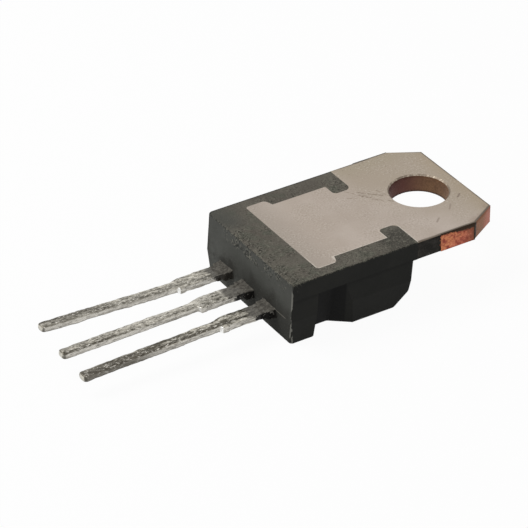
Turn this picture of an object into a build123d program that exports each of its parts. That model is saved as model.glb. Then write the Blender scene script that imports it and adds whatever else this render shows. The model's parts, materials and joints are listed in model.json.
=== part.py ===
from build123d import *
from math import radians, tan
import os

os.makedirs("parts", exist_ok=True)

# Power transistor in a flat moulded package with three leads and a drilled copper tab.
# It lies on its marked face, with the bare back of the tab uppermost. Leads run towards -X.
# The origin is the middle of the outline on the resting plane. All sizes are in millimetres.

# Package outline
package_height = 4.5
body_length = 9.2
body_width = 10.0
lead_reach = 13.5
tab_reach = 6.34
lead_end_x = lead_reach / 2 - (body_length + tab_reach) / 2
tab_shoulder_x = lead_end_x + body_length
tab_end_x = tab_shoulder_x + tab_reach

# Heat-sink tab
tab_width = 10.0
tab_thickness = 1.25
corner_cut_length = 2.0
corner_cut_width = 1.15
hole_diameter = 3.84
hole_rim = 0.09
hole_from_end = 2.84
tie_bar_width = 2.6
tie_bar_burr = 0.06
edge_break = 0.05
tab_underside = package_height - tab_thickness
corner_cut_x = tab_end_x - corner_cut_length

# The part of the tab that the moulding holds
pad_setback = 2.3
pad_width = 7.1
ear_width = 8.36
ear_length = 1.44
ear_slant = 0.2
ear_corner_radius = 0.2
notch_length = 1.3
neck_width = 5.0
notch_corner_radius = 0.3
ledge_overhang = 0.3
ledge_thickness = 0.6
pad_start_x = lead_end_x + pad_setback
ear_end_x = pad_start_x + ear_length
notch_start_x = tab_shoulder_x - notch_length

# Leads
lead_pitch = 2.54
lead_thickness = 0.42
lead_drop = 2.72
lead_root_width = 1.15
lead_width = 0.75
shoulder_reach = 3.85
shoulder_stub = 0.06
shoulder_stub_length = 0.4
shoulder_corner_length = 0.1
shoulder_slope_length = 0.65
tip_bevel = 0.16
tip_edge_bevel = 0.08
lead_edge_radius = 0.1
base_tip_rise = -0.25
collector_tip_rise = -0.09
emitter_tip_rise = 0.41
lead_top = package_height - lead_drop
lead_bottom = lead_top - lead_thickness
shoulder_x = lead_end_x - shoulder_reach
lead_tip_x = lead_end_x - lead_reach

# Ends of the leads inside the moulding
post_start = 0.45
post_length = 1.05
post_width = 2.8
post_corner_radius = 0.25
joggle_start = 0.8
joggle_landing = 0.1
joggle_radius = 0.6

# Chip, its solder and its wires
die_size = 3.6
die_thickness = 0.25
solder_thickness = 0.05
solder_margin = 0.1
die_from_pad_start = 2.7
wire_foot = 0.45
wire_loop_clearance = 0.5
wire_loop_radius = 0.35
base_wire_diameter = 0.2
emitter_wire_diameter = 0.38
base_pad_offset = 1.15
emitter_pad_offset = 0.75
die_x = pad_start_x + die_from_pad_start
solder_face = tab_underside - solder_thickness
die_face = solder_face - die_thickness

# Moulded body
parting_above_leads = 0.07
end_draft = 3.5
side_draft_above = 1.0
side_draft_below = 7.5
tab_wall_setback = 0.27
tab_wall_draft = 5.5
nose_height = 1.18
nose_length = 1.25
body_corner_radius = 0.12
worn_corner_radius = 0.3
foot_corner_radius = 0.3
bottom_edge_radius = 0.22
top_edge_radius = 0.1
tab_wall_x = tab_shoulder_x - tab_wall_setback
nose_top_x = tab_wall_x - (tab_underside - nose_height) * tan(radians(tab_wall_draft))
parting_height = lead_top + parting_above_leads
moulding_above = package_height - parting_height
parting_bulge = moulding_above * tan(radians(end_draft))
parting_flare = moulding_above * tan(radians(side_draft_above))

# Pocket in each side of the moulding
pocket_roof_drop = 1.2
pocket_setback = 1.62
pocket_wall_slant = 0.24
pocket_floor_length = 1.65
pocket_ramp_run = 1.25
pocket_roof_depth = 0.5
pocket_mouth_depth = 1.23
pocket_corner_radius = 0.3
pocket_roof = package_height - pocket_roof_drop
pocket_start_x = lead_end_x + pocket_setback
pocket_ramp_x = pocket_start_x + pocket_floor_length

# Round mark of the mould's ejector pin in the marked face
ejector_diameter = 1.5
ejector_depth = 0.1
ejector_from_lead_end = 4.6

# Two measures closer than this are the same one
same_size = 1e-6

# Flat outer stretch of each lead, cut from bent strip: side view first, then the plan
lead_stretches = {}
for lead_name, lead_y, tip_rise in (
    ("base", -lead_pitch, base_tip_rise),
    ("collector", 0, collector_tip_rise),
    ("emitter", lead_pitch, emitter_tip_rise),
):
    with BuildPart() as stretch:
        with BuildSketch(Plane.XZ.offset(-lead_y)):
            with BuildLine():
                Polyline(
                    (lead_tip_x, lead_top + tip_rise - tip_edge_bevel),
                    (lead_tip_x + tip_edge_bevel, lead_top + tip_rise),
                    (shoulder_x, lead_top),
                    (lead_end_x + joggle_start, lead_top),
                    (lead_end_x + joggle_start, lead_bottom),
                    (shoulder_x, lead_bottom),
                    (lead_tip_x + tip_edge_bevel, lead_bottom + tip_rise),
                    (lead_tip_x, lead_bottom + tip_rise + tip_edge_bevel),
                    close=True,
                )
            make_face()
        extrude(amount=lead_root_width, both=True)
        with BuildSketch(Plane((0, lead_y, 0))):
            with BuildLine():
                Polyline(
                    (lead_end_x + joggle_start, lead_root_width / 2),
                    (shoulder_x + shoulder_stub_length, lead_root_width / 2),
                    (shoulder_x + shoulder_stub_length - shoulder_slope_length, lead_width / 2),
                    (lead_tip_x + tip_bevel, lead_width / 2),
                    (lead_tip_x, lead_width / 2 - tip_bevel),
                    (lead_tip_x, tip_bevel - lead_width / 2),
                    (lead_tip_x + tip_bevel, -lead_width / 2),
                    (shoulder_x - shoulder_corner_length, -lead_width / 2),
                    (shoulder_x, -lead_root_width / 2 - shoulder_stub),
                    (shoulder_x + shoulder_stub_length, -lead_root_width / 2 - shoulder_stub),
                    (shoulder_x + shoulder_stub_length, -lead_root_width / 2),
                    (lead_end_x + joggle_start, -lead_root_width / 2),
                    close=True,
                )
            make_face()
        extrude(amount=package_height, mode=Mode.INTERSECT)
        fillet(stretch.edges().sort_by(SortBy.LENGTH)[-4:], lead_edge_radius)
    lead_stretches[lead_name] = stretch.part

# Base and emitter leads, each with a post inside the moulding for its wire
inner_pieces = []
for lead_name, side in (("base", -1), ("emitter", 1)):
    with BuildPart() as side_lead:
        add(lead_stretches[lead_name])
        with BuildSketch(Plane((lead_end_x + post_start, side * lead_pitch, lead_bottom))) as post:
            Rectangle(post_length, post_width, align=(Align.MIN, Align.CENTER))
            fillet(post.vertices(), post_corner_radius)
        extrude(amount=lead_thickness)
    side_lead.part.label = f"{lead_name}_lead"
    export_step(side_lead.part, f"parts/{lead_name}_lead.step")
    inner_pieces.append(side_lead.part)

# Copper tab and middle lead, stamped from one strip of two thicknesses
with BuildPart() as heatsink_tab:
    with BuildSketch(Plane.XY.offset(tab_underside)) as tab_outline:
        with BuildLine():
            Polyline(
                (pad_start_x, 0),
                (pad_start_x, ear_width / 2),
                (ear_end_x, ear_width / 2),
                (ear_end_x + ear_slant, pad_width / 2),
                (notch_start_x, pad_width / 2),
                (notch_start_x, neck_width / 2),
                (tab_shoulder_x, neck_width / 2),
                (tab_shoulder_x, tab_width / 2),
                (corner_cut_x, tab_width / 2),
                (tab_end_x, tab_width / 2 - corner_cut_width),
                (tab_end_x, 0),
            )
            mirror(about=Plane.XZ)
        make_face()
        corners = tab_outline.vertices()
        ear_corners = corners.filter_by(lambda corner: abs(abs(corner.Y) - ear_width / 2) < same_size)
        notch_corners = corners.filter_by(lambda corner: abs(abs(corner.Y) - neck_width / 2) < same_size)
        fillet(ear_corners, ear_corner_radius)
        fillet(notch_corners, notch_corner_radius)
    extrude(amount=tab_thickness)
    # Ledge coined out of the buried edges, which the moulding grips from behind
    with BuildSketch(Plane.XY.offset(tab_underside)):
        with BuildLine():
            Polyline(
                (pad_start_x - ledge_overhang, 0),
                (pad_start_x - ledge_overhang, ear_width / 2),
                (ear_end_x, ear_width / 2),
                (ear_end_x + ear_slant, pad_width / 2 + ledge_overhang),
                (notch_start_x, pad_width / 2 + ledge_overhang),
                (notch_start_x, 0),
            )
            mirror(about=Plane.XZ)
        make_face()
    extrude(amount=ledge_thickness)
    # Middle lead and the joggle that carries it up to the pad
    with BuildSketch(Plane.XZ):
        with BuildLine():
            strip_top = FilletPolyline(
                (lead_end_x, lead_top),
                (lead_end_x + joggle_start, lead_top),
                (pad_start_x - ledge_overhang - joggle_landing, tab_underside + lead_thickness),
                (pad_start_x, tab_underside + lead_thickness),
                radius=joggle_radius,
            )
            offset(strip_top, amount=lead_thickness, side=Side.RIGHT, closed=True)
        make_face()
    extrude(amount=lead_root_width / 2, both=True)
    add(lead_stretches["collector"])
    # Edges of the bare back beyond the moulding, rolled over by the punch
    back_edges = heatsink_tab.faces().sort_by(Axis.Z)[-1].edges()
    free_edges = back_edges.filter_by(lambda edge: edge.center().X > tab_shoulder_x)
    chamfer(free_edges, edge_break)
    # Burrs on both flanks, where the tie bars to the next tabs were sheared off
    with BuildSketch(Plane.YZ.offset(corner_cut_x)):
        with BuildLine():
            Polyline(
                (tab_width / 2, package_height),
                (tab_width / 2, tab_underside),
                (tab_width / 2 + tie_bar_burr, tab_underside),
                close=True,
            )
        make_face()
        mirror(about=Plane.YZ)
    extrude(amount=-tie_bar_width)
    # Mounting hole, its rim on the bare back rolled over by the punch
    with Locations((tab_end_x - hole_from_end, 0, package_height)):
        Hole(hole_diameter / 2, depth=tab_thickness)
    hole_rims = heatsink_tab.edges().filter_by(GeomType.CIRCLE).filter_by(
        lambda rim: abs(rim.radius - hole_diameter / 2) < same_size
    )
    chamfer(hole_rims.sort_by(Axis.Z)[-1], hole_rim)
heatsink_tab.part.label = "heatsink_tab"
export_step(heatsink_tab.part, "parts/heatsink_tab.step")

# Chip soldered face down to the pad
with BuildPart() as die_solder:
    with BuildSketch(Plane.XY.offset(solder_face)):
        with Locations((die_x, 0)):
            Rectangle(die_size + 2 * solder_margin, die_size + 2 * solder_margin)
    extrude(amount=solder_thickness)
die_solder.part.label = "die_solder"
export_step(die_solder.part, "parts/die_solder.step")

with BuildPart() as silicon_die:
    with BuildSketch(Plane.XY.offset(die_face)):
        with Locations((die_x, 0)):
            Rectangle(die_size, die_size)
    extrude(amount=die_thickness)
silicon_die.part.label = "silicon_die"
export_step(silicon_die.part, "parts/silicon_die.step")
inner_pieces += [heatsink_tab.part, die_solder.part, silicon_die.part]

# Wires looped from the chip's face to the two posts
for wire_name, side, wire_diameter, pad_offset in (
    ("base_bond_wire", -1, base_wire_diameter, base_pad_offset),
    ("emitter_bond_wire", 1, emitter_wire_diameter, emitter_pad_offset),
):
    chip_foot = Vector(die_x, side * pad_offset, die_face)
    post_foot = Vector(lead_end_x + post_start + post_length / 2, side * lead_pitch, die_face)
    run = post_foot - chip_foot
    span = run.length
    post_height = die_face - lead_bottom + wire_diameter / 2
    loop_height = die_face - wire_loop_clearance
    wire_plane = Plane(chip_foot, x_dir=run, z_dir=Vector(0, 0, 1).cross(run))
    with BuildPart() as bond_wire:
        with BuildLine(wire_plane) as wire_path:
            FilletPolyline(
                (0, wire_diameter / 2),
                (wire_foot, wire_diameter / 2),
                (span / 2, loop_height),
                (span - wire_foot, post_height),
                (span, post_height),
                radius=wire_loop_radius,
            )
        with BuildSketch(Plane(wire_path.line @ 0, z_dir=wire_path.line % 0)):
            Circle(wire_diameter / 2)
        sweep()
    bond_wire.part.label = wire_name
    export_step(bond_wire.part, f"parts/{wire_name}.step")
    inner_pieces.append(bond_wire.part)

# Room cut for a side pocket, deepest at the marked face
with BuildPart() as side_pocket:
    for pocket_plane, pocket_depth, wall_x in (
        (Plane.XY, pocket_mouth_depth, pocket_start_x),
        (Plane.XY.offset(pocket_roof), pocket_roof_depth, pocket_start_x + pocket_wall_slant),
    ):
        with BuildSketch(pocket_plane):
            with BuildLine():
                Polyline(
                    (wall_x, body_width),
                    (wall_x, body_width / 2 - pocket_depth),
                    (pocket_ramp_x, body_width / 2 - pocket_depth),
                    (pocket_ramp_x + pocket_ramp_run * (body_width / 2 + pocket_depth), body_width),
                    close=True,
                )
            make_face()
    loft(ruled=True)
    inner_wall = side_pocket.faces().sort_by(Axis.Y)[0]
    fillet(inner_wall.edges().filter_by(Axis.X, reverse=True), pocket_corner_radius)

# Outline of the moulding at one level, drawn in from its outline at the parting line.
# Its corners are sharper above the foot, but the far one at the lead end is worn round.
def body_outline(level, rear_x, rear_rounded):
    side_draft = side_draft_above if level > parting_height else side_draft_below
    side_inset = abs(level - parting_height) * tan(radians(side_draft))
    end_inset = abs(level - parting_height) * tan(radians(end_draft))
    with BuildSketch(Plane.XY.offset(level)) as outline:
        with Locations((rear_x, 0)):
            Rectangle(
                rear_x - lead_end_x + parting_bulge - end_inset,
                body_width + 2 * parting_flare - 2 * side_inset,
                align=(Align.MAX, Align.CENTER),
            )
        corner_radius = body_corner_radius if level > 0 else foot_corner_radius
        if rear_rounded:
            fillet(outline.vertices().group_by(Axis.X)[-1], corner_radius)
        for corner, radius in ((0, corner_radius), (-1, worn_corner_radius)):
            fillet(outline.vertices().group_by(Axis.X)[0].sort_by(Axis.Y)[corner], radius)
    return outline.sketch


# Moulded body: the drafted block under the tab, then the slab around the tab
with BuildPart() as moulded_body:
    loft(
        [
            body_outline(level, tab_wall_x - (tab_underside - level) * tan(radians(tab_wall_draft)), True)
            for level in (0, parting_height, tab_underside)
        ],
        ruled=True,
    )
    loft([body_outline(level, tab_shoulder_x, False) for level in (tab_underside, package_height)])
    # Nose slanted off below the wall under the tab
    with BuildSketch(Plane.XZ):
        with BuildLine():
            Polyline(
                (nose_top_x, nose_height),
                (nose_top_x - nose_length, 0),
                (tab_end_x, 0),
                (tab_end_x, nose_height),
                close=True,
            )
        make_face()
    extrude(amount=body_width, both=True, mode=Mode.SUBTRACT)
    add(side_pocket.part, mode=Mode.SUBTRACT)
    mirror(side_pocket.part, about=Plane.XZ, mode=Mode.SUBTRACT)
    marked_face = moulded_body.faces().sort_by(Axis.Z)[0]
    fillet(marked_face.edges(), bottom_edge_radius)
    top_edges = moulded_body.faces().sort_by(Axis.Z)[-1].edges()
    fillet(top_edges.filter_by(lambda edge: edge.center().X < tab_shoulder_x), top_edge_radius)
    with Locations((lead_end_x + ejector_from_lead_end, 0, 0)):
        Cylinder(ejector_diameter / 2, 2 * ejector_depth, mode=Mode.SUBTRACT)
    for inner_piece in inner_pieces:
        add(inner_piece, mode=Mode.SUBTRACT)
moulded_body.part.label = "moulded_body"
export_step(moulded_body.part, "parts/moulded_body.step")
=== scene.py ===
import bpy
import json
from functools import reduce
from math import cos, radians, sin
from mathutils import Matrix, Vector


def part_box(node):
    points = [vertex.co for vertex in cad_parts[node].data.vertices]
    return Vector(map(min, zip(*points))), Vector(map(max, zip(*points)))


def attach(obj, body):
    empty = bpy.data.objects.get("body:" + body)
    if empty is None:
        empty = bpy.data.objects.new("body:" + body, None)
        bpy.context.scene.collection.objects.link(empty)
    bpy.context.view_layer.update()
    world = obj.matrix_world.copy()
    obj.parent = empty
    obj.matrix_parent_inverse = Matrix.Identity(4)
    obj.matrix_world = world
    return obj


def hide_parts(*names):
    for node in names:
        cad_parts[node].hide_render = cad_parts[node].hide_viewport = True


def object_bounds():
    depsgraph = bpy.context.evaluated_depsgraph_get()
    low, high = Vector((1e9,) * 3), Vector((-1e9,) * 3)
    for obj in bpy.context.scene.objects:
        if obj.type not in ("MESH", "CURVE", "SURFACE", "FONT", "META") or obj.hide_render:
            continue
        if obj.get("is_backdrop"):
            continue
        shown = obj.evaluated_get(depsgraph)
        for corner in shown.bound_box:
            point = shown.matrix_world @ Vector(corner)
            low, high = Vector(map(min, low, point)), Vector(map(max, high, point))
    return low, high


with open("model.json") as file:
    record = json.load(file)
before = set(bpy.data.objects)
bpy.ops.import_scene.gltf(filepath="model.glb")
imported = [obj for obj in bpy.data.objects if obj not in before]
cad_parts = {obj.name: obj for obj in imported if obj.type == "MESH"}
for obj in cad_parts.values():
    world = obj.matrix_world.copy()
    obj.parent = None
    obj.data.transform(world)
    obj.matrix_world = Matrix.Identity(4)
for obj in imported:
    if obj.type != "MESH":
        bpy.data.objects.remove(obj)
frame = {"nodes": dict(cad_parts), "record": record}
cad_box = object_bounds()

# One millimetre, in the scene's metres
MM = 0.001

# Sizes of the part, in millimetres
lead_pitch = 2.54
lead_root_width = 1.15
lead_thickness = 0.42
lead_middle_z = 1.57
shoulder_reach = 3.85
tab_thickness = 1.25
tab_half_width = 5.0
corner_cut_length = 2.0
corner_cut_depth = 1.15
tie_bar_width = 2.6
end_wall_draft = 0.16
parting_height = 1.85
pocket_half_width = 4.52
pocket_draft = 0.17
pocket_roof = 3.4
pad_setback = 2.3
pad_half_width = 3.55
ear_length = 1.5
ear_half_width = 4.18
notch_length = 1.3
neck_half_width = 2.5

# Places on it, in millimetres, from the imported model. The leads run towards -X
body_low, body_high = (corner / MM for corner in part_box("moulded_body"))
tab_low, tab_high = (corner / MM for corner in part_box("heatsink_tab"))
mounts = {mount["name"]: mount for mount in frame["record"]["mounts"]}
hole_centre = Vector(mounts["tab_hole"]["pos_m"]) / MM
hole_radius = mounts["tab_hole"]["dims"]["r_mm"]
back_height = body_high.z
tab_underside = back_height - tab_thickness
body_end_x = body_low.x + end_wall_draft
shoulder_x = body_end_x - shoulder_reach
pad_start_x = body_end_x + pad_setback
tab_shoulder_x = body_high.x
notch_start_x = tab_shoulder_x - notch_length
tab_end_x = tab_high.x
corner_cut_x = tab_end_x - corner_cut_length
cut_slope = corner_cut_depth / corner_cut_length

# The tab's outline where it lies bare in the moulding, as overlapping strips: (start X, end X,
# half width). The neck runs on into the tab, and the tab past its own edges
overrun = 2.0
bare_outline = (
    (pad_start_x, pad_start_x + ear_length, ear_half_width),
    (pad_start_x, notch_start_x, pad_half_width),
    (pad_start_x, tab_shoulder_x + overrun, neck_half_width),
    (tab_shoulder_x, tab_end_x + overrun, tab_half_width + overrun),
)

# Marks on the tab's back, from the middle of the hole: (start, end, width, strength)
rubbed_marks = (
    ((-4.1, 2.4), (-3.4, 1.35), 0.07, 0.55),
    ((-3.5, 1.9), (-2.3, 0.75), 0.10, 0.6),
    ((-3.6, 1.7), (-2.9, 1.0), 0.07, 0.5),
    ((-3.45, 1.3), (-2.9, 0.8), 0.09, 0.7),
    ((-3.1, 0.7), (-2.05, -0.2), 0.11, 0.5),
    ((-4.4, 1.6), (-3.85, 1.3), 0.07, 0.5),
    ((-2.3, 1.5), (-2.0, 0.55), 0.10, 0.3),
)
fine_scratches = (
    ((1.62, -1.97), (1.97, -1.69), 0.08, 0.6),
    ((-1.16, -3.7), (-0.79, -3.38), 0.09, 0.4),
    ((0.37, -2.87), (0.77, -2.41), 0.08, 0.35),
)

# Resin squeezed out along a lead's root, from its foot in the moulding outwards: (reach, width
# over the lead's, height over the lead's)
resin_steps = ((0.30, 0.50, 0.30), (0.10, 0.26, 0.15), (0.20, 0.12, 0.08), (0.70, 0.04, 0.03))


class Value:
    """A number that varies over a surface: a shader socket that can stand in a sum."""

    def __init__(self, nodes, socket):
        self.nodes = nodes
        self.socket = socket

    def __add__(self, other):
        return self.nodes.math("ADD", self, other)

    def __sub__(self, other):
        return self.nodes.math("SUBTRACT", self, other)

    def __rsub__(self, other):
        return self.nodes.math("SUBTRACT", other, self)

    def __mul__(self, other):
        return self.nodes.math("MULTIPLY", self, other)

    __radd__ = __add__
    __rmul__ = __mul__

    def __abs__(self):
        return self.nodes.math("ABSOLUTE", self)

    def __round__(self):
        return self.nodes.math("ROUND", self)

    def larger(self, other):
        return self.nodes.math("MAXIMUM", self, other)

    def smaller(self, other):
        return self.nodes.math("MINIMUM", self, other)

    def rise(self, start, end):
        """A soft step from 0 at start to 1 at end, whichever of them is the lower."""
        settings = {"interpolation_type": "SMOOTHSTEP"}
        inputs = {"Value": self, "From Min": min(start, end), "From Max": max(start, end)}
        rising = self.nodes.node("ShaderNodeMapRange", settings, inputs, "Result")
        return rising if start < end else 1 - rising

    def near(self, centre, reach, softness):
        """1 within reach of centre, 0 beyond it."""
        return abs(self - centre).rise(reach + softness, reach)


class Nodes:
    """The shader nodes of one material, or of the world."""

    def __init__(self, owner):
        owner.use_nodes = True
        self.tree = owner.node_tree
        self.tree.nodes.clear()

    def node(self, kind, settings, inputs, output=0):
        """Adds a node: its settings first, then its sockets' values or links."""
        node = self.tree.nodes.new(kind)
        for setting, value in settings.items():
            setattr(node, setting, value)
        for name, value in inputs.items():
            socket = self.find(node.inputs, name)
            if isinstance(value, Value):
                self.tree.links.new(value.socket, socket)
            elif isinstance(value, tuple) and socket.type == "RGBA":
                socket.default_value = (*value, 1)
            else:
                socket.default_value = value
        return Value(self, self.find(node.outputs, output)) if len(node.outputs) else None

    def find(self, sockets, name):
        """A socket by its number or its name, leaving out those that the node's settings hide."""
        if isinstance(name, int):
            return sockets[name]
        return next(socket for socket in sockets if socket.name == name and socket.enabled)

    def math(self, operation, *values):
        return self.node("ShaderNodeMath", {"operation": operation}, dict(enumerate(values)))

    def seen_by(self, *rays):
        """1 for the kinds of ray that are named, 0 for all others."""
        path = self.node("ShaderNodeLightPath", {}, {}).socket.node
        return reduce(Value.larger, (Value(self, path.outputs[f"Is {ray} Ray"]) for ray in rays))


class Finish(Nodes):
    """One procedural material, with the places and directions that its patterns follow."""

    def __init__(self, name):
        self.material = bpy.data.materials.new(name)
        super().__init__(self.material)
        in_millimetres = {"Vector": self.node("ShaderNodeTexCoord", {}, {}, "Object"), "Scale": 1 / MM}
        self.place = self.node("ShaderNodeVectorMath", {"operation": "SCALE"}, in_millimetres)
        self.x, self.y, self.z = self.parts_of(self.place)
        facing = self.node("ShaderNodeTexCoord", {}, {}, "Normal")
        self.facing_x, self.facing_y, self.facing_z = self.parts_of(facing)

    def parts_of(self, vector):
        split = self.node("ShaderNodeSeparateXYZ", {}, {"Vector": vector}).socket.node
        return (Value(self, socket) for socket in split.outputs)

    def stretched(self, x, y, z):
        """The place on the part, squeezed or drawn out along each axis."""
        return self.node("ShaderNodeVectorMath", {"operation": "MULTIPLY"}, {0: self.place, 1: (x, y, z)})

    def noise(self, scale, detail, roughness=0.6, place=None):
        """Cloudy pattern from 0 to 1, its clouds about 1 / scale millimetres across."""
        inputs = {"Vector": place or self.place, "Scale": scale}
        inputs |= {"Detail": detail, "Roughness": roughness}
        return self.node("ShaderNodeTexNoise", {}, inputs)

    def specks(self, scale, size):
        """Scattered round specks, 1 in their middles."""
        inputs = {"Vector": self.place, "Scale": scale}
        return self.node("ShaderNodeTexVoronoi", {}, inputs, "Distance").rise(size, size / 2)

    def blend(self, mask, base, over):
        """Colour over laid on colour base where mask is 1."""
        inputs = {"Factor": mask, "A": base, "B": over}
        return self.node("ShaderNodeMix", {"data_type": "RGBA"}, inputs, "Result")

    def scratch(self, from_x, from_y, start, end, width):
        """A fine line on the bare back, from start to end."""
        start, end = Vector(start), Vector(end)
        along = (end - start).normalized()
        aside = abs((from_x - start.x) * -along.y + (from_y - start.y) * along.x)
        run = (from_x - start.x) * along.x + (from_y - start.y) * along.y
        half_length = (end - start).length / 2
        return aside.rise(width, width / 3) * run.near(half_length, half_length, width)

    def corner(self, x, half_width, inward_x, inward_y, radius):
        """1 in a corner of a shape on the bare back, outside the arc that rounds it off. From the
        corner the shape lies inward_x along X, and inward_y away from the middle line."""
        inside_x = (self.x - x) * inward_x
        inside_y = (abs(self.y) - half_width) * inward_y
        along, aside = radius - inside_x, radius - inside_y
        outside_arc = (along * along + aside * aside).rise(radius ** 2, (radius + 0.04) ** 2)
        middle, softness = radius / 2, 0.03
        within = inside_x.near(middle, middle, softness) * inside_y.near(middle, middle, softness)
        return outside_arc * within

    def surface(self, colour, roughness, metallic, height, depth, specular=0.5):
        """Closes the material with its shader; height from 0 to 1 is depth millimetres of bump."""
        bump = {"Height": height, "Distance": depth * MM, "Strength": 1.0}
        inputs = {"Base Color": colour, "Roughness": roughness, "Metallic": metallic}
        inputs |= {"Specular IOR Level": specular, "Normal": self.node("ShaderNodeBump", {}, bump)}
        shader = self.node("ShaderNodeBsdfPrincipled", {}, inputs)
        self.node("ShaderNodeOutputMaterial", {}, {"Surface": shader})
        return self.material


def moulded_sides(finish, patches, lead_end):
    """Satin black, partly darkened as painted shade, and darker still inside the pockets as painted
    shade.
    """
    y, z = finish.y, finish.z
    black = finish.blend(patches.rise(0.35, 0.7), (0.0186, 0.0190, 0.0172), (0.0232, 0.0232, 0.0208))
    # Painted shade: the pockets are darkened where less light reaches into them
    painted_pocket_shade = (abs(y) - z * pocket_draft).rise(pocket_half_width, pocket_half_width - 0.1)
    painted_pocket_shade = painted_pocket_shade * z.rise(pocket_roof, pocket_roof - 0.2) * (1 - lead_end)
    return finish.blend(painted_pocket_shade * 0.8, black, (0.006, 0.006, 0.006))


def lead_end_wall(finish, patches, fine_grit):
    """Dull black, lighter than the sides partly as painted light; darker towards the foot below the
    leads, smudged, with painted shadows of the leads beside their roots.
    """
    y, z = finish.y, finish.z
    # Lighter than the sides: partly the wall's own finish, partly painted light from the lamp's side
    dull_and_lit = finish.blend(patches.rise(0.3, 0.75), (0.070, 0.071, 0.064), (0.089, 0.091, 0.083))
    toward_foot = (z - y * 0.14).rise(3.8, 1.8) * y.rise(3.0, -1.5)
    dull_and_lit = finish.blend(toward_foot * 0.95, dull_and_lit, (0.030, 0.030, 0.026))
    # Painted shadows cast by the leads onto the wall, beside their roots, broken up by smudges
    from_root = abs(across_lead(y + 0.35)) * 0.7 + abs(z - 2.0)
    smudges = finish.noise(1.1, 4, 0.65)
    painted_lead_shadow = from_root.rise(1.5, 0.5) * smudges.rise(0.36, 0.60)
    dull_and_lit = finish.blend(painted_lead_shadow * 0.8, dull_and_lit, (0.034, 0.033, 0.029))
    dull_and_lit = finish.blend(smudges.rise(0.60, 0.70) * 0.4, dull_and_lit, (0.040, 0.040, 0.036))
    dull_and_lit = finish.blend(finish.specks(0.9, 0.13) * 0.6, dull_and_lit, (0.028, 0.028, 0.026))
    return finish.blend(fine_grit.rise(0.60, 0.70) * 0.3, dull_and_lit, (0.13, 0.13, 0.115))


def ground_back(finish, patches, grit, fine_grit, from_edge):
    """Dusty where it was ground flush with the tab, its pale tone partly a painted sheen, with clusters
    of pale filler and dark pits.
    """
    x, y = finish.x, finish.y
    clusters = finish.noise(0.7, 3, 0.6).rise(0.46, 0.62).larger(y.rise(-3.2, -3.9) * 0.8)
    # The pale tone of the back is partly dusty and partly a painted sheen of light from above
    dust_and_sheen = finish.blend(patches.rise(0.35, 0.65), (0.122, 0.109, 0.091), (0.150, 0.138, 0.114))
    dust_and_sheen = finish.blend(finish.noise(0.8, 2).rise(0.48, 0.64) * 0.6, dust_and_sheen, (0.112, 0.118, 0.092))
    near_notch = x.rise(notch_start_x - 1.2, notch_start_x) * y.rise(-2.6, -3.4)
    dust_and_sheen = finish.blend(near_notch * 0.8, dust_and_sheen, (0.070, 0.066, 0.056))
    dust_and_sheen = finish.blend(grit.rise(0.50, 0.66) * (clusters * 0.6 + 0.25), dust_and_sheen, (0.21, 0.20, 0.16))
    dust_and_sheen = finish.blend(fine_grit.rise(0.50, 0.36) * (clusters * 0.5 + 0.3), dust_and_sheen, (0.045, 0.043, 0.036))
    worn_smooth = from_edge.rise(2.2, 0.4) * y.rise(1.6, 3.4)
    return finish.blend(worn_smooth * 0.8, dust_and_sheen, (0.083, 0.085, 0.075))


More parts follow.
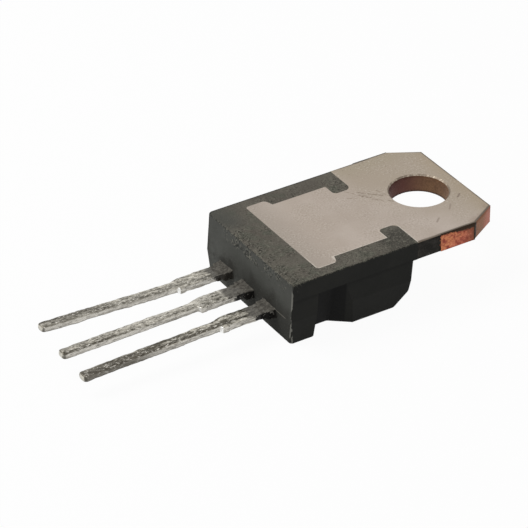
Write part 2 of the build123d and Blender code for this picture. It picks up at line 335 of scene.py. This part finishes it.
def moulding_compound():
    """Black epoxy: satin on its moulded sides, ground dusty and gritty on the back, each face's tone
    partly painted light and shade.
    """
    finish = Finish("moulding_compound")
    x, y, z = finish.x, finish.y, finish.z
    upward = finish.facing_z.rise(0.35, 0.85) * z.rise(back_height - 0.3, back_height - 0.1)
    at_lead_end = x.rise(body_low.x + 0.5, body_low.x + 0.3)
    lead_end = finish.facing_x.rise(-0.5, -0.9) * at_lead_end
    from_edge = (x - body_end_x) + (back_height - z) + (finish.noise(1.0, 2) - 0.5) * 0.8
    patches = finish.noise(0.45, 3)
    grit = finish.noise(5.5, 4, 0.75)
    fine_grit = finish.noise(11.0, 2, 0.6)
    # Each face its own tone, partly painted light and shade: the sides darkened, the end wall lit, the
    # back given a painted sheen
    end_wall = lead_end_wall(finish, patches, fine_grit)
    colour = finish.blend(lead_end, moulded_sides(finish, patches, lead_end), end_wall)
    colour = finish.blend(upward, colour, ground_back(finish, patches, grit, fine_grit, from_edge))
    # Crumbly edges of the back, the worst along the lead end
    crumbs = finish.noise(8.0, 3, 0.8)
    rounded = abs(finish.facing_z * (1 - finish.facing_z * finish.facing_z)).rise(0.05, 0.25)
    rounded = rounded * z.rise(back_height - 0.35, back_height - 0.2)
    heaped = finish.noise(1.1, 3, 0.6).rise(0.42, 0.54)
    broken_edge = from_edge.rise(1.15, 0.45) * heaped * y.rise(3.4, 2.2) * z.rise(3.5, 3.8)
    crumbly = (rounded * 0.7).larger(broken_edge)
    colour = finish.blend(crumbly * crumbs.rise(0.53, 0.60) * 0.85, colour, (0.23, 0.222, 0.182))
    colour = finish.blend(crumbly * crumbs.rise(0.49, 0.42) * 0.95, colour, (0.018, 0.018, 0.016))
    # Painted shade along the edges on the emitter side; worn upright corners, pale partly as a painted
    # highlight; and the seam of the mould
    painted_edge_shade = ((finish.facing_z - finish.facing_x) * finish.facing_y).rise(0.02, 0.12)
    painted_edge_shade = painted_edge_shade * finish.facing_y.rise(0, 0.1)
    painted_edge_shade = painted_edge_shade.larger(y.rise(tab_half_width - 0.17, tab_half_width - 0.09) * upward)
    colour = finish.blend(painted_edge_shade * 0.9, colour, (0.008, 0.008, 0.007))
    upright_corner = abs(finish.facing_x * finish.facing_y).rise(0.22, 0.40) * at_lead_end
    chips = finish.noise(1.0, 3, 0.6, place=finish.stretched(3.0, 3.0, 1.1))
    colour = finish.blend(upright_corner * chips.rise(0.44, 0.52) * 0.9, colour, (0.24, 0.235, 0.21))
    seam = z.near(parting_height, 0.015, 0.03) * abs(finish.facing_z).rise(0.5, 0.2)
    seam = seam * finish.noise(1.2, 2).rise(0.4, 0.55) * lead_end * y.rise(-2.6, -3.4)
    colour = finish.blend(seam * 0.7, colour, (0.20, 0.19, 0.16))
    # Metal rounds off the inner corners of the two notches
    plated = finish.corner(notch_start_x, neck_half_width, 1, 1, 0.35)
    plated = plated.larger(finish.corner(tab_shoulder_x, neck_half_width, -1, 1, 0.5)) * upward
    colour = finish.blend(plated, colour, (0.40, 0.338, 0.275))
    roughness = 0.60 + upward * 0.25 + lead_end * 0.12 + (grit - 0.5) * 0.1 - plated * 0.45
    height = grit * (upward * 0.75 + crumbly * 0.8 + 0.12) + fine_grit * (upward * 0.3 + 0.1)
    return finish.surface(colour, roughness, plated, height, 0.05, specular=0.08)


def across_lead(y):
    """How far a place is to the side of its nearest lead's middle."""
    return y - round(y * (1 / lead_pitch)) * lead_pitch


def long_grains(finish):
    """Grains drawn out a little along the leads."""
    return finish.noise(1.0, 3, 0.75, place=finish.stretched(4.2, 7.5, 7.5))


def resin_colour(finish, grains):
    """Thin resin round the roots: dusty brown on top, dark with pale crumbs beside it; the light top is
    partly painted light and the dark sides partly painted shade.
    """
    dusty = finish.blend(grains.rise(0.42, 0.58), (0.078, 0.072, 0.062), (0.142, 0.133, 0.114))
    crumbs = finish.noise(4.5, 3, 0.8).rise(0.58, 0.64)
    crust_and_shade = finish.blend(crumbs, (0.012, 0.011, 0.010), (0.22, 0.21, 0.185))
    crust_and_shade = finish.blend(finish.y.rise(1.2, 2.0) * 0.7, crust_and_shade, (0.060, 0.054, 0.045))
    # The resin's pale top and dark sides are partly painted light and painted shade
    return finish.blend(finish.facing_z.rise(0.35, 0.7), crust_and_shade, dusty)


def root_resin():
    """Gritty collars round the lead roots."""
    finish = Finish("root_resin")
    grit = finish.noise(5.5, 4, 0.75)
    colour = resin_colour(finish, long_grains(finish))
    return finish.surface(colour, 0.7 + grit * 0.1, 0.0, grit, 0.04, specular=0.08)


def lead_metal(finish):
    """Tinned strip, streaked along its length, smeared with resin where it leaves the moulding."""
    x, y, z = finish.x, finish.y, finish.z
    across = across_lead(y)
    on_base, on_emitter = y.rise(-1.2, -2.0), y.rise(1.2, 2.0)
    on_collector = 1 - on_base - on_emitter
    streaks = finish.noise(1.0, 4, 0.65, place=finish.stretched(0.5, 4.5, 4.5))
    fine_streaks = finish.noise(1.0, 3, 0.6, place=finish.stretched(2.0, 12.0, 12.0))
    grains = long_grains(finish)
    patches = finish.noise(0.8, 2)
    on_top = finish.facing_z.rise(0.5, 0.85)
    upright = abs(finish.facing_z).rise(0.6, 0.3)
    to_tip = x.rise(tab_low.x + 6.52, tab_low.x + 3.02)
    # Streaks, paler along the middle lead's emitter side and near the roots of two leads
    colour = finish.blend(streaks.rise(0.41, 0.59), (0.100, 0.092, 0.070), (0.54, 0.51, 0.435))
    pale = on_collector * across.rise(-0.05, 0.2) * 0.55
    pale = pale + (on_collector + on_emitter) * (1 - to_tip) * 0.3
    colour = finish.blend(pale, colour, (0.55, 0.525, 0.465))
    # Dark drawn line along the base side of each lead's top, painted shade towards the tips, and pale
    # flanks as a painted reflection of the white floor, with painted shade where they turn down
    edge_line = across.near(-0.27, 0.05, 0.1) * on_top * patches.rise(0.2, 0.4)
    edge_line = edge_line * (1 - on_collector * (1 - to_tip) * 0.6)
    colour = finish.blend(edge_line * (0.8 - on_emitter * 0.4), colour, (0.080, 0.071, 0.056))
    tip_shade = on_emitter * (0.45 + across.rise(-0.05, 0.15) * 0.3) + on_collector * 0.3
    colour = finish.blend(to_tip * tip_shade, colour, (0.090, 0.081, 0.065))
    flank = finish.blend(streaks.rise(0.36, 0.55), (0.36, 0.34, 0.30), (0.66, 0.635, 0.58))
    # Painted shade on the flanks where they turn downwards
    flank = finish.blend(finish.facing_z.rise(0.1, -0.4) * 0.85, flank, (0.085, 0.077, 0.062))
    colour = finish.blend(upright, colour, flank)
    dark_base = on_base * to_tip * (1 - across.rise(0.12, 0.3) * on_top * 0.5)
    colour = finish.blend(dark_base * 0.82, colour, (0.078, 0.069, 0.054))
    pale_grains = grains.rise(0.55, 0.63) * (0.4 + on_top * 0.35) * (1 - on_base * to_tip * 0.25)
    colour = finish.blend(pale_grains, colour, (0.74, 0.715, 0.65))
    colour = finish.blend(grains.rise(0.46, 0.38) * (on_top * 0.6 + 0.2), colour, (0.042, 0.037, 0.029))
    colour = finish.blend(fine_streaks.rise(0.45, 0.34) * 0.7, colour, (0.075, 0.067, 0.054))
    # Glints on the shoulders towards the base side, where the dam bar was cut off
    glint = x.near(shoulder_x - 0.06, 0.04, 0.04) * across.rise(-0.38, -0.44) * (1 - on_collector * 0.7)
    colour = finish.blend(glint, colour, (0.96, 0.96, 0.94))
    # Cut tips: a rounded edge darkened by painted shade about a pale face
    at_tip = x.rise(tab_low.x + 0.55, tab_low.x + 0.4)
    tip_edge_shade = at_tip * finish.facing_x.rise(-0.15, -0.4)
    colour = finish.blend(tip_edge_shade * 0.8, colour, (0.085, 0.078, 0.064))
    tip_face = at_tip * finish.facing_x.rise(-0.65, -0.85) * streaks.rise(0.35, 0.45)
    colour = finish.blend(tip_face * 0.85, colour, (0.66, 0.635, 0.56))
    # Resin film on the roots, and a crumbly dark coat on their flanks that is partly painted shade
    from_root = x - body_end_x + (finish.noise(1.3, 3) - 0.5) * 1.2 - on_emitter * 0.45
    film_top = from_root.rise(-2.0, -1.6) * on_top
    crumbly = from_root + (grains - 0.5) * 0.8 + on_emitter * 0.35
    crust_and_shade = crumbly.rise(-1.45, -1.35) * (1 - on_top)
    film = (film_top * 0.92).larger(crust_and_shade)
    colour = finish.blend(film, colour, resin_colour(finish, grains))
    height = streaks * 0.5 + grains * 0.35 + fine_streaks * 0.3
    roughness = 0.30 + grains * 0.22 + film * 0.3
    return colour, roughness, 1 - film, height


def satin_plating(finish, patches, grain, from_x, from_y):
    """The bare back: grained satin, tanned round the hole, with pits and bright grains."""
    x, y = finish.x, finish.y
    satin = finish.blend(patches.rise(0.3, 0.7), (0.400, 0.338, 0.285), (0.449, 0.385, 0.333))
    tanned = (from_x + from_y * 0.8).rise(-5.0, 0.5) * x.rise(notch_start_x, tab_shoulder_x + 1)
    satin = finish.blend(tanned * 0.75, satin, (0.342, 0.284, 0.216))
    satin = finish.blend(from_x.rise(1.2, 3.4) * 0.8, satin, (0.338, 0.270, 0.186))
    olive = y.rise(3.0, 4.7) * x.rise(tab_shoulder_x - 1, tab_shoulder_x + 1)
    satin = finish.blend(olive * 0.5, satin, (0.33, 0.285, 0.205))
    satin = finish.blend(x.rise(pad_start_x + 2.5, pad_start_x) * 0.85, satin, (0.345, 0.297, 0.253))
    grained = finish.noise(0.5, 2).rise(0.40, 0.60) * 0.75 + 0.25
    satin = finish.blend(grain.rise(0.53, 0.62) * grained * 0.4, satin, (0.58, 0.53, 0.46))
    satin = finish.blend(grain.rise(0.47, 0.37) * grained * 0.4, satin, (0.22, 0.185, 0.145))
    # Pits and bright grains gather between the hole and the emitter side
    gathered = finish.noise(0.6, 3, 0.6).rise(0.44, 0.6)
    gathered = gathered * (y.rise(-1.5, 1.0) * x.rise(notch_start_x - 1, tab_shoulder_x) * 0.6 + 0.4)
    satin = finish.blend(gathered * finish.specks(2.6, 0.16) * 0.6, satin, (0.17, 0.125, 0.09))
    return finish.blend(gathered * finish.specks(3.1, 0.13) * 0.6, satin, (0.60, 0.54, 0.46))


def marked_back(finish, colour, from_x, from_y):
    """Rubbed marks and fine scratches, laid over the plating."""
    dotted = finish.noise(5.5, 3, 0.75).rise(0.45, 0.55)
    for start, end, width, strength in rubbed_marks:
        line = finish.scratch(from_x, from_y, start, end, width) * dotted
        colour = finish.blend(line * strength, colour, (0.150, 0.112, 0.075))
    for start, end, width, strength in fine_scratches:
        line = finish.scratch(from_x, from_y, start, end, width)
        colour = finish.blend(line * strength, colour, (0.13, 0.09, 0.07))
    return colour


def edged_back(finish, colour, patches, grain):
    """Lines and rubbed strips along the edges of the plating."""
    x, y = finish.x, finish.y
    # Rubbed strip along the cut corner on the base side
    from_cut = tab_half_width - abs(y) - (x - corner_cut_x) * cut_slope
    rubbed = from_cut.rise(0.8, 0.1) * y.rise(0, -1) * finish.noise(1.6, 3).rise(0.40, 0.6)
    colour = finish.blend(rubbed * 0.45, colour, (0.25, 0.18, 0.135))
    # Tarnished line round the drilled end
    from_border = (tab_half_width - abs(y)).smaller(tab_end_x - x).smaller(from_cut)
    border = from_border.rise(0.17, 0.09) * x.rise(tab_shoulder_x, tab_shoulder_x + 0.1)
    colour = finish.blend(border * patches.rise(0.3, 0.5) * 0.8, colour, (0.095, 0.078, 0.062))
    # Painted highlight: a light line on the base side, where the plating rolls over at the edge of the
    # moulding
    strips = []
    for start_x, end_x, half_width in bare_outline:
        beyond = abs(x - (start_x + end_x) / 2) - (end_x - start_x) / 2
        strips.append((abs(y) - half_width).larger(beyond))
    painted_rim_highlight = reduce(Value.smaller, strips).rise(-0.09, -0.04)
    painted_rim_highlight = painted_rim_highlight * x.rise(tab_shoulder_x + 0.15, tab_shoulder_x) * y.rise(-2.0, -3.3)
    colour = finish.blend(painted_rim_highlight * grain.rise(0.35, 0.5) * 0.65, colour, (0.60, 0.55, 0.48))
    # Moulding compound rounds off the corners of the ears
    ear_corner = finish.corner(pad_start_x + ear_length, ear_half_width, -1, -1, 0.35)
    return finish.blend(ear_corner, colour, (0.118, 0.108, 0.092))


def torn_copper(finish, grime_and_shade, tear, fleck):
    """The flanks: near-black, partly grimy and partly painted shade, with raw copper where the tie bars
    were sheared off, under painted shade along its top and at its end by the cut corner.
    """
    from_cut, z = finish.x - corner_cut_x, finish.z
    # Near-black flanks: painted shade, with grimy patches
    flank = finish.blend(grime_and_shade.rise(0.4, 0.7), (0.016, 0.015, 0.013), (0.040, 0.037, 0.032))
    ragged = from_cut + (finish.noise(2.5, 2) - 0.5) * 0.5
    sheared = ragged.near(-tie_bar_width / 2, tie_bar_width / 2, 0.05)
    sheared = sheared * abs(finish.facing_y).rise(0.7, 0.85)
    flank = finish.blend(sheared * 0.8, flank, (0.058, 0.037, 0.024))
    golden = (z * 0.8 - from_cut * 0.5).rise(3.2, 4.2)
    copper = finish.blend(tear.rise(0.38, 0.62), (0.26, 0.060, 0.042), (0.53, 0.170, 0.105))
    copper = finish.blend(golden * tear.rise(0.40, 0.56) * 0.6, copper, (0.60, 0.26, 0.115))
    # Painted shade darkens the copper towards the cut corner and under its top edge
    copper = finish.blend(from_cut.rise(-1.0, -0.1) * 0.75, copper, (0.19, 0.072, 0.040))
    painted_shade_at_top = grime_and_shade.rise(0.52, 0.64) * z.rise(3.6, 4.2)
    copper = finish.blend(painted_shade_at_top * 0.75, copper, (0.10, 0.060, 0.034))
    copper = finish.blend(tear.rise(0.60, 0.70) * 0.6, copper, (0.78, 0.42, 0.28))
    burnished = (z - back_height) + (fleck - 0.5) * 0.35 + from_cut.rise(-2.2, -0.6) * 0.2
    shown = sheared * burnished.rise(-0.08, -0.18) * from_cut.rise(-0.06, -0.14)
    return finish.blend(shown, flank, copper)


def punched_corner(finish, grime_and_shade):
    """Pinkish copper of the two cut corners, lighter and more pink towards the tab's end and lower down
    as painted light.
    """
    # Painted light: lighter and more pink towards the tab's end
    painted_light_to_end = (finish.x - corner_cut_x - finish.z * 0.3).rise(-0.3, 0.7)
    pink = finish.blend(painted_light_to_end, (0.25, 0.115, 0.062), (0.42, 0.165, 0.120))
    return finish.blend(grime_and_shade.rise(0.5, 0.7) * 0.6, pink, (0.13, 0.085, 0.062))


def hole_wall(finish, grime_and_shade, from_x, from_y):
    """Dull copper of the hole's wall, with painted light on the side facing the lamp and painted shade
    darkening its foot.
    """
    # Painted light on the side of the wall that faces the lamp
    painted_lit_side = (from_x - from_y * 0.6).rise(-1.2, 1.3)
    wall = finish.blend(painted_lit_side, (0.118, 0.053, 0.044), (0.245, 0.140, 0.079))
    wall = finish.blend(grime_and_shade.rise(0.4, 0.7) * 0.3, wall, (0.11, 0.062, 0.045))
    # Painted shade deep in the hole
    painted_shade_at_foot = finish.z.rise(tab_underside + 0.2, tab_underside)
    return finish.blend(painted_shade_at_foot * 0.7, wall, (0.03, 0.018, 0.015))


def tab_metal(finish):
    """Satin plating on the back, bare copper where the punch and the tie bars cut."""
    x, y, z = finish.x, finish.y, finish.z
    from_x, from_y = x - hole_centre.x, y - hole_centre.y
    patches = finish.noise(0.35, 3, 0.55)
    grain = finish.noise(8.0, 3, 0.75)
    grime_and_shade = finish.noise(1.3, 4, 0.7)
    tear = finish.noise(3.0, 5, 0.75)
    fleck = finish.noise(5.0, 3, 0.8)
    satin = satin_plating(finish, patches, grain, from_x, from_y)
    satin = marked_back(finish, satin, from_x, from_y)
    satin = edged_back(finish, satin, patches, grain)
    # Rolled edges: a thin tarnished line round the tab and flecks round the hole
    from_hole = from_x * from_x + from_y * from_y
    at_hole = from_hole.rise((hole_radius + 0.3) ** 2, (hole_radius + 0.15) ** 2)
    rolled = finish.facing_z.rise(0.98, 0.9) * z.rise(back_height - 0.3, back_height - 0.15)
    satin = finish.blend(rolled * 0.75, satin, (0.17, 0.135, 0.105))
    flecked = rolled * at_hole * (from_x * 0.6 + from_y).rise(0.2, 1.2)
    satin = finish.blend(flecked * fleck.rise(0.52, 0.58) * 0.8, satin, (0.46, 0.40, 0.32))
    # Upright faces
    upright = abs(finish.facing_z).rise(0.6, 0.35)
    cut_corner = x.rise(corner_cut_x + 0.1, corner_cut_x + 0.25) * abs(finish.facing_y).rise(0.3, 0.45)
    flank = torn_copper(finish, grime_and_shade, tear, fleck)
    flank = finish.blend(cut_corner, flank, punched_corner(finish, grime_and_shade))
    flank = finish.blend(at_hole, flank, hole_wall(finish, grime_and_shade, from_x, from_y))
    colour = finish.blend(upright, satin, flank)
    height = grain * 0.5 + upright * tear * 2.5
    roughness = 0.38 + (grain - 0.5) * 0.2 + upright * 0.17 + rolled * 0.2
    return colour, roughness, height


def plated_tab():
    """The tab and the middle lead are one piece of metal with two finishes."""
    finish = Finish("plated_tab")
    lead_colour, lead_roughness, lead_metallic, lead_height = lead_metal(finish)
    tab_colour, tab_roughness, tab_height = tab_metal(finish)
    on_tab = finish.x.rise(body_end_x + 0.1, body_end_x + 0.2)
    colour = finish.blend(on_tab, lead_colour, tab_colour)
    roughness = lead_roughness + (tab_roughness - lead_roughness) * on_tab
    metallic = lead_metallic.larger(on_tab)
    height = lead_height + (tab_height - lead_height) * on_tab
    return finish.surface(colour, roughness, metallic, height, 0.02)


def tinned_lead():
    """The two outer leads."""
    finish = Finish("tinned_lead")
    colour, roughness, metallic, height = lead_metal(finish)
    return finish.surface(colour, roughness, metallic, height, 0.02)


def buried_finish(name, dark, light, roughness, metallic):
    """Plain grained finish of a piece that the moulding hides."""
    finish = Finish(name)
    grain = finish.noise(5.0, 3)
    colour = finish.blend(grain.rise(0.3, 0.7), dark, light)
    return finish.surface(colour, roughness + grain * 0.15, metallic, grain, 0.004)


def light_part():
    """Soft lamp high beyond the lead end, and a world that is white to the eye and to the metal."""
    ambient_strength = 0.38
    lamp_place = Vector((-90, 70, 150)) * MM
    lamp_diameter = 120 * MM
    lamp_power = 0.215
    world = bpy.data.worlds.new("studio")
    nodes = Nodes(world)
    seen = nodes.seen_by("Camera", "Glossy", "Transmission")
    strengths = {"Value": seen, "To Min": ambient_strength, "To Max": 1}
    strength = nodes.node("ShaderNodeMapRange", {}, strengths)
    sky = nodes.node("ShaderNodeBackground", {}, {"Color": (1, 1, 1), "Strength": strength})
    nodes.node("ShaderNodeOutputWorld", {}, {"Surface": sky})
    bpy.context.scene.world = world
    lamp = bpy.data.lights.new("key_lamp", "AREA")
    lamp.shape = "DISK"
    lamp.size = lamp_diameter
    lamp.energy = lamp_power
    key = bpy.data.objects.new("key_lamp", lamp)
    turned = lamp_place.to_track_quat("Z", "Y").to_matrix().to_4x4()
    key.matrix_world = Matrix.Translation(lamp_place) @ turned
    bpy.context.scene.collection.objects.link(key)


def lay_floor():
    """White floor that glows to the eye, so that only a faint shadow is left on it."""
    floor_size = 4
    glow_share = 0.955
    bpy.ops.object.select_all(action="DESELECT")
    bpy.ops.mesh.primitive_plane_add(size=floor_size)
    floor = bpy.context.object
    floor.name = "floor"
    material = bpy.data.materials.new("white_floor")
    nodes = Nodes(material)
    matt = {"Base Color": (0.85, 0.85, 0.85), "Roughness": 1, "Specular IOR Level": 0}
    card = nodes.node("ShaderNodeBsdfPrincipled", {}, matt)
    glow = nodes.node("ShaderNodeEmission", {}, {"Color": (1, 1, 1), "Strength": 1})
    glowing = nodes.seen_by("Camera", "Glossy") * glow_share
    surface = nodes.node("ShaderNodeMixShader", {}, {0: glowing, 1: card, 2: glow})
    nodes.node("ShaderNodeOutputMaterial", {}, {"Surface": surface})
    floor.data.materials.append(material)
    floor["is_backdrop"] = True


def place_camera():
    """The photograph's own viewpoint: a long lens, well back, looking down past the lead end."""
    azimuth = radians(-31.999)
    elevation = radians(33.188)
    roll = radians(-0.185)
    distance = 199.23 * MM
    target_from_end = 1.066
    target_height = 2.975
    target = Vector((body_end_x + target_from_end, 0, target_height)) * MM
    focal_length_in_pixels = 3200
    picture_pixels = 528
    sensor = 36
    back = Vector((sin(azimuth) * cos(elevation), -cos(azimuth) * cos(elevation), sin(elevation)))
    level_right = (-back).cross(Vector((0, 0, 1))).normalized()
    level_up = level_right.cross(-back)
    right = level_right * cos(roll) + level_up * sin(roll)
    up = level_up * cos(roll) - level_right * sin(roll)
    lens = bpy.data.cameras.new("camera")
    lens.sensor_width = sensor
    lens.lens = focal_length_in_pixels / picture_pixels * sensor
    lens.clip_start = distance / 10
    lens.clip_end = distance * 100
    camera = bpy.data.objects.new("camera", lens)
    turned = Matrix((right, up, back)).transposed().to_4x4()
    camera.matrix_world = Matrix.Translation(target + back * distance) @ turned
    bpy.context.scene.collection.objects.link(camera)
    bpy.context.scene.camera = camera


def select_only(piece):
    bpy.ops.object.select_all(action="DESELECT")
    piece.select_set(True)
    bpy.context.view_layer.objects.active = piece


def welded_copy(node, name):
    """A copy of a CAD node for edit-mode work, its loose triangles merged."""
    piece = bpy.data.objects.new(name, frame["nodes"][node].data.copy())
    bpy.context.scene.collection.objects.link(piece)
    select_only(piece)
    bpy.ops.mesh.customdata_custom_splitnormals_clear()
    bpy.ops.object.mode_set(mode="EDIT")
    bpy.ops.mesh.select_all(action="SELECT")
    bpy.ops.mesh.remove_doubles(threshold=0.001 * MM)
    bpy.ops.object.mode_set(mode="OBJECT")
    return piece


def keep_half(piece, x, **half):
    """Cuts a piece through at x, drops the half named clear_inner or clear_outer and closes the cut."""
    select_only(piece)
    bpy.ops.object.mode_set(mode="EDIT")
    bpy.ops.mesh.select_all(action="SELECT")
    bpy.ops.mesh.bisect(plane_co=(x * MM, 0, 0), plane_no=(1, 0, 0), use_fill=True, **half)
    bpy.ops.object.mode_set(mode="OBJECT")


def apply_last(piece):
    select_only(piece)
    bpy.ops.object.modifier_apply(modifier=piece.modifiers[-1].name)


def dent(piece, name, size, depth, weight):
    """Moves the surface in and out by cloudy dents, as far as a place's weight lets it."""
    group = piece.vertex_groups.new(name=name)
    for vertex in piece.data.vertices:
        group.add([vertex.index], weight(vertex.co / MM), "REPLACE")
    clouds = bpy.data.textures.new(name, "CLOUDS")
    clouds.noise_scale = size * MM
    clouds.noise_depth = 2
    dents = piece.modifiers.new(name, "DISPLACE")
    dents.texture = clouds
    dents.texture_coords = "LOCAL"
    dents.vertex_group = group.name
    dents.strength = depth * MM
    apply_last(piece)


def ramp(value, start, end):
    """0 up to start, 1 from end on, and a straight line between."""
    return min(max((value - start) / (end - start), 0), 1)


def remesh(piece, size):
    """Wraps a piece in an even skin of small faces."""
    skin = piece.modifiers.new("skin", "REMESH")
    skin.mode = "VOXEL"
    skin.voxel_size = size * MM
    apply_last(piece)


def soften(piece, iterations, group=""):
    softening = piece.modifiers.new("softening", "SMOOTH")
    softening.vertex_group = group
    softening.factor = 0.5
    softening.iterations = iterations
    apply_last(piece)


def dip_lead(piece):
    """Gives the part of a lead outside the moulding the soft edges and lumps of its dipped coat."""
    inner = piece.copy()
    inner.data = piece.data.copy()
    bpy.context.scene.collection.objects.link(inner)
    # The coated half and the bare half overlap a little inside the moulding
    coated_to = body_end_x + 0.3
    bare_from = body_end_x + 0.28
    keep_half(piece, coated_to, clear_outer=True)
    keep_half(inner, bare_from, clear_inner=True)
    remesh(piece, 0.045)
    tip = piece.vertex_groups.new(name="tip")
    for vertex in piece.data.vertices:
        tip.add([vertex.index], ramp(vertex.co.x / MM, tab_low.x + 0.5, tab_low.x + 0.2), "REPLACE")
    soften(piece, 24, tip.name)
    for dents, size, depth in (("lumps", 1.0, 0.10), ("ripples", 0.28, 0.04)):
        dent(piece, dents, size, depth, lambda place: ramp(place.x, body_end_x, body_end_x - 0.6))
    select_only(piece)
    inner.select_set(True)
    bpy.ops.object.join()


def squeeze_out_resin(name, middle):
    """The rough collar of resin that the mould squeezed out along a lead's root."""
    width, height = lead_root_width, lead_thickness
    foot_length, foot_over_width, foot_over_height = resin_steps[0]
    bpy.ops.object.select_all(action="DESELECT")
    bpy.ops.mesh.primitive_cube_add(size=1, location=Vector((body_end_x, middle, lead_middle_z)) * MM)
    flash = bpy.context.object
    flash.name = name
    flash.scale = Vector((foot_length, width + foot_over_width, height + foot_over_height)) * MM
    bpy.ops.object.transform_apply(location=True, rotation=True, scale=True)
    for reach, over_width, over_height in resin_steps[1:]:
        tip_x = min(vertex.co.x for vertex in flash.data.vertices)
        ring = [vertex.co for vertex in flash.data.vertices if vertex.co.x < tip_x + 0.001 * MM]
        ring_width = max(co.y for co in ring) - min(co.y for co in ring)
        ring_height = max(co.z for co in ring) - min(co.z for co in ring)
        narrower = (width + over_width) * MM / ring_width
        lower = (height + over_height) * MM / ring_height
        for face in flash.data.polygons:
            face.select = face.normal.x < -0.9
        bpy.ops.object.mode_set(mode="EDIT")
        bpy.ops.mesh.extrude_region_move(TRANSFORM_OT_translate={"value": (-reach * MM, 0, 0)})
        pivot = Vector((tip_x / MM - reach, middle, lead_middle_z)) * MM
        bpy.ops.transform.resize(value=(1, narrower, lower), center_override=pivot)
        bpy.ops.object.mode_set(mode="OBJECT")
    remesh(flash, 0.04)
    soften(flash, 10)
    dent(flash, "clots", 0.5, 0.16, lambda place: 1)
    dent(flash, "crumbs", 0.2, 0.06, lambda place: 1)
    return flash


def cut_across(piece, axis, start, stop, spacing, chosen):
    """Cuts the chosen faces by planes across an axis, to give dents something to move."""
    direction = Vector((0, 0, 0))
    direction[axis] = 1
    select_only(piece)
    for cut in range(round((stop - start) / spacing) + 1):
        for face in piece.data.polygons:
            face.select = chosen(face.center / MM, face.normal)
        bpy.ops.object.mode_set(mode="EDIT")
        bpy.ops.mesh.bisect(plane_co=direction * (start + cut * spacing) * MM, plane_no=direction)
        bpy.ops.mesh.select_all(action="DESELECT")
        bpy.ops.object.mode_set(mode="OBJECT")


def tear_flanks(piece):
    """Tears the copper on both flanks, where the tie bars were sheared off."""
    middle_x = corner_cut_x - tie_bar_width / 2
    middle_z = back_height - tab_thickness / 2
    cut_reach_x = 1.2
    cut_reach_z = 0.48
    spacing = 0.12

    def on_tear(centre, normal):
        on_flank = abs(normal.y) > 0.9 and abs(centre.y) > tab_half_width - 0.1
        return on_flank and abs(centre.x - middle_x) < tie_bar_width

    def tear(place):
        from_ends = abs(place.x - middle_x) - tie_bar_width / 2
        from_faces = abs(place.z - middle_z) - tab_thickness / 2
        return (abs(place.y) > tab_half_width - 0.01) * ramp(max(from_ends, from_faces), -0.03, -0.15)

    cut_across(piece, 0, middle_x - cut_reach_x, middle_x + cut_reach_x, spacing, on_tear)
    cut_across(piece, 2, middle_z - cut_reach_z, middle_z + cut_reach_z, spacing, on_tear)
    dent(piece, "tears", 0.25, 0.09, tear)


def smooth(piece, sharpest):
    """Shades a piece smoothly over all edges up to the sharpest, in degrees."""
    select_only(piece)
    bpy.ops.object.shade_smooth_by_angle(angle=radians(sharpest))


def take_over(piece, node, material):
    """Gives a reworked piece its smooth shading, its finish, and its node's place and body."""
    smooth(piece, 40)
    piece.data.materials[0] = material
    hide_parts(node)
    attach(piece, "root")
    slots[node]


slots = {part["node"]: part["material_slot"] for part in frame["record"]["subparts"]}
lead_finish = tinned_lead()
resin_finish = root_resin()
wire_finish = buried_finish("bond_wire", (0.60, 0.61, 0.63), (0.78, 0.79, 0.81), 0.3, 1.0)
finishes = {
    "moulded_body": moulding_compound(),
    "silicon_die": buried_finish("silicon", (0.09, 0.10, 0.12), (0.14, 0.15, 0.18), 0.15, 0.0),
    "die_solder": buried_finish("solder", (0.38, 0.38, 0.39), (0.52, 0.52, 0.53), 0.4, 1.0),
    "base_bond_wire": wire_finish,
    "emitter_bond_wire": wire_finish,
}
for node, material in finishes.items():
    frame["nodes"][node].data.materials[0] = material

for node in ("base_lead", "emitter_lead"):
    lead = welded_copy(node, f"dipped_{node}")
    dip_lead(lead)
    take_over(lead, node, lead_finish)
for name, middle in (("base", -lead_pitch), ("collector", 0), ("emitter", lead_pitch)):
    flash = squeeze_out_resin(f"{name}_root_resin", middle)
    smooth(flash, 50)
    flash.data.materials.append(resin_finish)
    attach(flash, "root")
tab = welded_copy("heatsink_tab", "stamped_tab")
tear_flanks(tab)
dip_lead(tab)
take_over(tab, "heatsink_tab", plated_tab())

light_part()
lay_floor()
place_camera()
bpy.context.scene.view_settings.view_transform = "Standard"

visual_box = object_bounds()
{"cad": [list(c) for c in cad_box], "visual": [list(c) for c in visual_box]}
